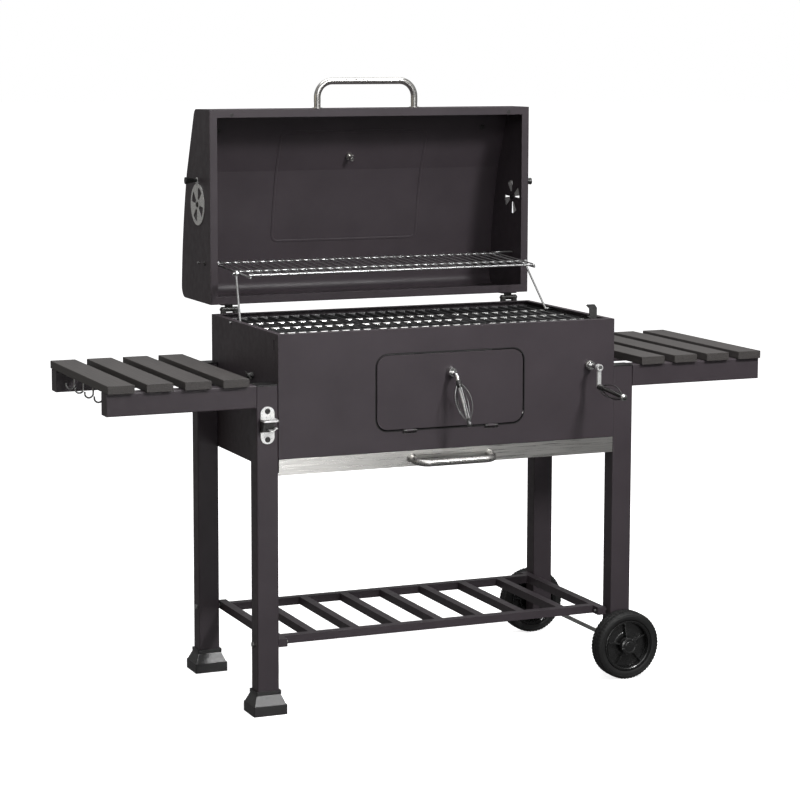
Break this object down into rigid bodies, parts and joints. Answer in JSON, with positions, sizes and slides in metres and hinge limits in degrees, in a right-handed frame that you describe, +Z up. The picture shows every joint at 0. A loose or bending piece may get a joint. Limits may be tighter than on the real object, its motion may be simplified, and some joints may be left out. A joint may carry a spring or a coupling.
{
  "type": "charcoal trolley grill",
  "caption": "Charcoal grill on a trolley: hinged lid, crank-lifted charcoal pan, stoke door, ash drawer, warming rack, slatted side tables, bottom shelf, wheels.",
  "frame": {"origin": "bottom centre of the overall bounding box, on the floor", "axes": "+X to the user's right along the tables, -Y to the front where the doors and crank are, +Z up"},
  "size_m": [1.589, 0.8221, 1.381],
  "materials": {
    "powder_coat": "satin powder coat, anthracite",
    "dark_steel": "matt black",
    "black_plastic": "moulded, satin",
    "tread": "matt",
    "cast_iron": "seasoned, satin",
    "brushed_steel": "brushed along X",
    "polished_steel": "bright plated",
    "zinc_steel": "zinc plated",
    "slat": "dark grey stain, fine grain",
    "needle_red": "satin"
  },
  "bodies": {
    "root": {"front_left_leg": "powder_coat", "rear_left_leg": "powder_coat", "front_right_leg": "powder_coat", "rear_right_leg": "powder_coat", "leg_caps": "black_plastic", "leg_feet": "black_plastic", "wheel_axle": "zinc_steel", "frame_fasteners": "zinc_steel", "shelf_rails": "powder_coat", "shelf_crossbars": "powder_coat", "firebox_front_panel": "powder_coat", "firebox_rear_panel": "powder_coat", "firebox_side_panels": "powder_coat", "grate_ledges": "dark_steel", "left_grate": "cast_iron", "middle_grate": "cast_iron", "right_grate": "cast_iron", "stoke_hinges": "zinc_steel", "drawer_runners": "dark_steel", "crank_bush": "polished_steel", "lift_brackets": "dark_steel", "rear_hinge_leaves": "zinc_steel", "left_table_slats": "slat", "right_table_slats": "slat", "table_beams": "powder_coat", "tool_hooks": "polished_steel", "bottle_opener": "polished_steel"},
    "front_wheel": {"front_tyre": "tread", "front_wheel": "black_plastic"},
    "rear_wheel": {"rear_tyre": "tread", "rear_wheel": "black_plastic"},
    "stoke_door": {"stoke_door": "powder_coat"},
    "door_handle": {"door_spindle": "polished_steel", "door_grip": "polished_steel"},
    "ash_drawer": {"drawer_tray": "dark_steel", "drawer_front": "brushed_steel", "drawer_pull": "polished_steel"},
    "crank": {"crank_shaft": "polished_steel", "crank_pinion": "polished_steel", "crank_arm": "polished_steel", "crank_grip": "polished_steel"},
    "pan_lift": {"lift_bar": "dark_steel", "pan_carrier": "dark_steel", "charcoal_pan": "dark_steel", "charcoal_grid": "dark_steel"},
    "lid": {"lid_shell": "powder_coat", "lid_side_panels": "powder_coat", "lid_hinge_leaves": "zinc_steel", "lid_handle": "polished_steel", "lid_fasteners": "zinc_steel", "thermometer_case": "polished_steel"},
    "needle": {"thermometer_needle": "needle_red"},
    "left_vent": {"left_vent_disc": "polished_steel", "left_vent_knob": "black_plastic"},
    "right_vent": {"right_vent_disc": "polished_steel", "right_vent_knob": "black_plastic"},
    "warming_rack": {"warming_rack": "polished_steel"},
    "rack_legs": {"rack_legs": "polished_steel"}
  },
  "joints": [
    {"name": "lid_hinge", "type": "hinge", "parent": "root", "child": "lid", "pos_m": [0, 0.20389, 0.845], "axis": [1, 0, 0], "range_deg": [0, 90]},
    {"name": "rack_pivot", "type": "hinge", "parent": "lid", "child": "warming_rack", "pos_m": [0, 0.28089, 0.949], "axis": [1, 0, 0], "range_deg": [-90, 0]},
    {"name": "rack_leg_pivot", "type": "hinge", "parent": "root", "child": "rack_legs", "pos_m": [0, 0.05489, 0.831], "axis": [1, 0, 0], "range_deg": [0, 90]},
    {"name": "stoke_door_hinge", "type": "hinge", "parent": "root", "child": "stoke_door", "pos_m": [0, -0.24861, 0.6095], "axis": [1, 0, 0], "range_deg": [0, 55]},
    {"name": "door_handle_turn", "type": "hinge", "parent": "stoke_door", "child": "door_handle", "pos_m": [0, -0.25411, 0.736], "axis": [0, -1, 0], "range_deg": [0, 90]},
    {"name": "ash_drawer_slide", "type": "slide", "parent": "root", "child": "ash_drawer", "axis": [0, -1, 0], "range_m": [0, 0.35]},
    {"name": "pan_lift_slide", "type": "slide", "parent": "root", "child": "pan_lift", "axis": [0, 0, 1], "range_m": [-0.1, 0]},
    {"name": "crank_turn", "type": "hinge", "parent": "root", "child": "crank", "pos_m": [0.345, -0.25411, 0.734], "axis": [0, 1, 0], "range_deg": [0, 480]},
    {"name": "front_wheel_spin", "type": "hinge", "parent": "root", "child": "front_wheel", "pos_m": [0.435, -0.27211, 0.08], "axis": [0, 1, 0], "continuous": true},
    {"name": "rear_wheel_spin", "type": "hinge", "parent": "root", "child": "rear_wheel", "pos_m": [0.435, 0.21389, 0.08], "axis": [0, 1, 0], "continuous": true},
    {"name": "left_vent_turn", "type": "hinge", "parent": "lid", "child": "left_vent", "pos_m": [-0.411, 0.28389, 1.086], "axis": [1, 0, 0], "range_deg": [0, 45]},
    {"name": "right_vent_turn", "type": "hinge", "parent": "lid", "child": "right_vent", "pos_m": [0.411, 0.28389, 1.086], "axis": [1, 0, 0], "range_deg": [-32, 13]},
    {"name": "needle_turn", "type": "hinge", "parent": "lid", "child": "needle", "pos_m": [0, 0.35247, 1.191], "axis": [0, 0.9302, 0.3672], "range_deg": [-270, 0]}
  ],
  "couplings": [
    {"joint": "rack_pivot", "follows": "lid_hinge", "ratio": -1},
    {"joint": "rack_leg_pivot", "follows": "lid_hinge", "ratio": 1},
    {"joint": "crank_turn", "follows": "pan_lift_slide", "rad_per_m": -83.333}
  ]
}
